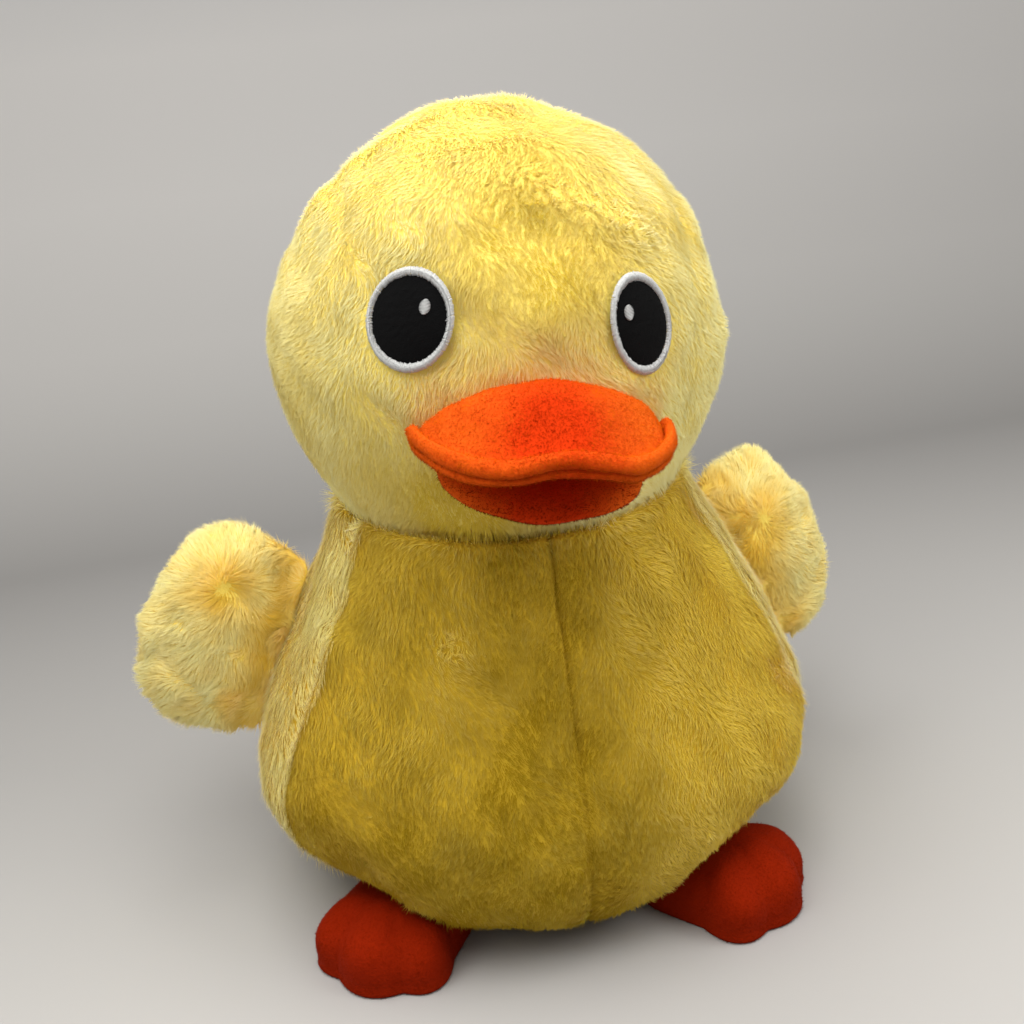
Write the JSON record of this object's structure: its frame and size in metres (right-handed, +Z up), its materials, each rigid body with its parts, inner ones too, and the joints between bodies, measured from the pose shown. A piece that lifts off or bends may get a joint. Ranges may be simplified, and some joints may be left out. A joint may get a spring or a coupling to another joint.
{
  "type": "plush duck",
  "caption": "Sitting plush duck with a turning head, soft orange beak and feet, stub wings and a short tail.",
  "frame": {"origin": "centre of the base panel's flat underside, on the floor", "axes": "+Z up, -Y where the duck faces, +X the duck's left"},
  "size_m": [0.361, 0.2994, 0.3589],
  "materials": {
    "belly_plush": "golden yellow pile, about 6 mm deep",
    "side_plush": "lighter yellow, longer pile",
    "back_plush": "golden yellow pile",
    "head_plush": "pale lemon yellow pile",
    "wing_plush": "yellow pile about 10 mm deep",
    "beak_fleece": "short orange pile",
    "foot_fleece": "short red-orange pile",
    "eye_felt": "matt black felt",
    "eye_thread": "glossy white satin stitch",
    "stuffing": "loose white fibre",
    "pellet_cloth": "woven bag of plastic pellets"
  },
  "bodies": {
    "torso": {"belly_left": "belly_plush", "belly_right": "belly_plush", "side_left": "side_plush", "side_right": "side_plush", "back_left": "back_plush", "back_right": "back_plush", "base_panel": "belly_plush", "body_filling": "stuffing", "pellet_bag": "pellet_cloth"},
    "neck": {"neck_filling": "stuffing"},
    "head": {"head_face_gusset": "head_plush", "head_back_gusset": "head_plush", "cheek_left": "head_plush", "cheek_right": "head_plush", "head_filling": "stuffing", "eye_black_left": "eye_felt", "eye_ring_left": "eye_thread", "eye_glint_left": "eye_thread", "eye_black_right": "eye_felt", "eye_ring_right": "eye_thread", "eye_glint_right": "eye_thread"},
    "upper_beak": {"upper_beak_top": "beak_fleece", "upper_beak_underside": "beak_fleece", "upper_beak_filling": "stuffing"},
    "lower_beak": {"lower_beak_top": "beak_fleece", "lower_beak_underside": "beak_fleece", "lower_beak_filling": "stuffing"},
    "wing_left": {"wing_left_front": "wing_plush", "wing_left_back": "wing_plush", "wing_left_filling": "stuffing"},
    "wing_right": {"wing_right_front": "wing_plush", "wing_right_back": "wing_plush", "wing_right_filling": "stuffing"},
    "foot_left": {"foot_left_top": "foot_fleece", "foot_left_sole": "foot_fleece", "foot_left_filling": "stuffing"},
    "foot_right": {"foot_right_top": "foot_fleece", "foot_right_sole": "foot_fleece", "foot_right_filling": "stuffing"},
    "tail": {"tail_top": "back_plush", "tail_underside": "back_plush", "tail_filling": "stuffing"}
  },
  "joints": [
    {"name": "head_turn", "type": "hinge", "parent": "torso", "child": "neck", "pos_m": [0, 0, 0.26], "axis": [0, 0, 1], "range_deg": [-20, 20], "stiffness_Nm_per_rad": 1.2},
    {"name": "head_nod", "type": "hinge", "parent": "neck", "child": "head", "pos_m": [0, 0, 0.26], "axis": [0.9981, -0.061, 0], "range_deg": [-8, 8], "stiffness_Nm_per_rad": 2},
    {"name": "upper_beak_lift", "type": "hinge", "parent": "head", "child": "upper_beak", "pos_m": [-0.00037, -0.09877, 0.2697], "axis": [-0.9909, 0.0169, 0.1339], "range_deg": [0, 12], "stiffness_Nm_per_rad": 0.15},
    {"name": "lower_beak_drop", "type": "hinge", "parent": "head", "child": "lower_beak", "pos_m": [-0.00718, -0.08919, 0.2181], "axis": [0.9909, -0.0169, -0.1339], "range_deg": [0, 12], "stiffness_Nm_per_rad": 0.15},
    {"name": "wing_left_swing", "type": "hinge", "parent": "torso", "child": "wing_left", "pos_m": [0.12107, 0.0186, 0.11714], "axis": [-0.3949, -0.0137, 0.9186], "range_deg": [-30, 22], "stiffness_Nm_per_rad": 0.3},
    {"name": "wing_right_swing", "type": "hinge", "parent": "torso", "child": "wing_right", "pos_m": [-0.1189, 0.01851, 0.12215], "axis": [0.3997, -0.0134, 0.9165], "range_deg": [-28, 30], "stiffness_Nm_per_rad": 0.3},
    {"name": "foot_left_flex", "type": "hinge", "parent": "torso", "child": "foot_left", "pos_m": [0.05733, -0.0612, 0.006], "axis": [-0.7431, -0.6691, 0], "range_deg": [0, 12], "stiffness_Nm_per_rad": 0.3},
    {"name": "foot_right_flex", "type": "hinge", "parent": "torso", "child": "foot_right", "pos_m": [-0.06984, -0.04813, 0.006], "axis": [-0.829, 0.5592, 0], "range_deg": [0, 12], "stiffness_Nm_per_rad": 0.3},
    {"name": "tail_flex", "type": "hinge", "parent": "torso", "child": "tail", "pos_m": [0, 0.1093, 0.07182], "axis": [1, 0, 0], "range_deg": [-10, 20], "stiffness_Nm_per_rad": 0.2}
  ]
}
